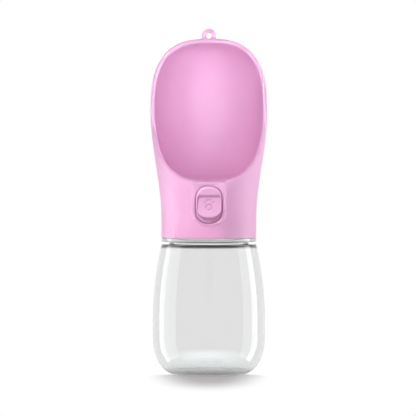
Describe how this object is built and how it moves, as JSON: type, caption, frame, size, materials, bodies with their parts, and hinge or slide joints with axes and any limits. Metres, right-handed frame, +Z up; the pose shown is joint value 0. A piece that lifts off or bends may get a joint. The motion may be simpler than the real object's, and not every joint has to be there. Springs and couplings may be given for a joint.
{
  "type": "dog travel water bottle",
  "caption": "Clear travel water bottle that screws into a scooped drinking head, with a thumb-locked push button that opens a spring valve and fills the scoop.",
  "frame": {"origin": "centre of the base, on the surface that the bottle stands on", "axes": "+Z up the bottle's own axis, -Y towards the side the dog drinks from, which also has the button"},
  "size_m": [0.0726, 0.0711, 0.2151],
  "materials": {
    "clear_plastic": "clear, glossy, blow moulded",
    "pink_plastic": "satin moulded plastic",
    "button_pink": "satin moulded plastic",
    "white_plastic": "moulded plastic",
    "silicone": "translucent silicone",
    "black_rubber": "moulded rubber",
    "steel": "drawn stainless wire and machined screws"
  },
  "bodies": {
    "bottle": {"bottle": "clear_plastic"},
    "seal": {"bottle_seal": "silicone"},
    "head": {"head_shell": "pink_plastic", "valve_body": "white_plastic", "duct_gasket": "silicone", "duct_cover": "white_plastic", "stem_seal": "black_rubber", "riser_seal": "black_rubber", "spring_washer": "steel", "valve_spring": "steel", "button_spring": "steel", "plate_screws": "steel", "cover_screws": "steel"},
    "valve": {"valve_stem": "white_plastic", "valve_pad": "silicone", "stem_cap": "white_plastic"},
    "button": {"push_button": "button_pink"},
    "lock": {"lock_slider": "button_pink"}
  },
  "joints": [
    {"name": "head_lift", "type": "slide", "parent": "bottle", "child": "seal", "axis": [0, 0, 1], "range_m": [0, 0.024]},
    {"name": "head_turn", "type": "hinge", "parent": "seal", "child": "head", "pos_m": [0, 0, 0.09], "axis": [0, 0, 1], "range_deg": [0, 1080]},
    {"name": "button_press", "type": "slide", "parent": "head", "child": "button", "axis": [0, 1, 0], "range_m": [0, 0.0025], "stiffness_N_per_m": 600, "springref_m": -0.003, "deforming": ["button_spring"]},
    {"name": "lock_slide", "type": "slide", "parent": "button", "child": "lock", "axis": [0, 0, -1], "range_m": [0, 0.0023]},
    {"name": "valve_lift", "type": "slide", "parent": "head", "child": "valve", "axis": [0, 0, -1], "range_m": [0, 0.0025], "stiffness_N_per_m": 300, "springref_m": -0.002, "deforming": ["valve_spring"]}
  ],
  "couplings": [
    {"joint": "head_lift", "follows": "head_turn", "m_per_rad": 0.001273},
    {"joint": "valve_lift", "follows": "button_press", "ratio": 1}
  ]
}
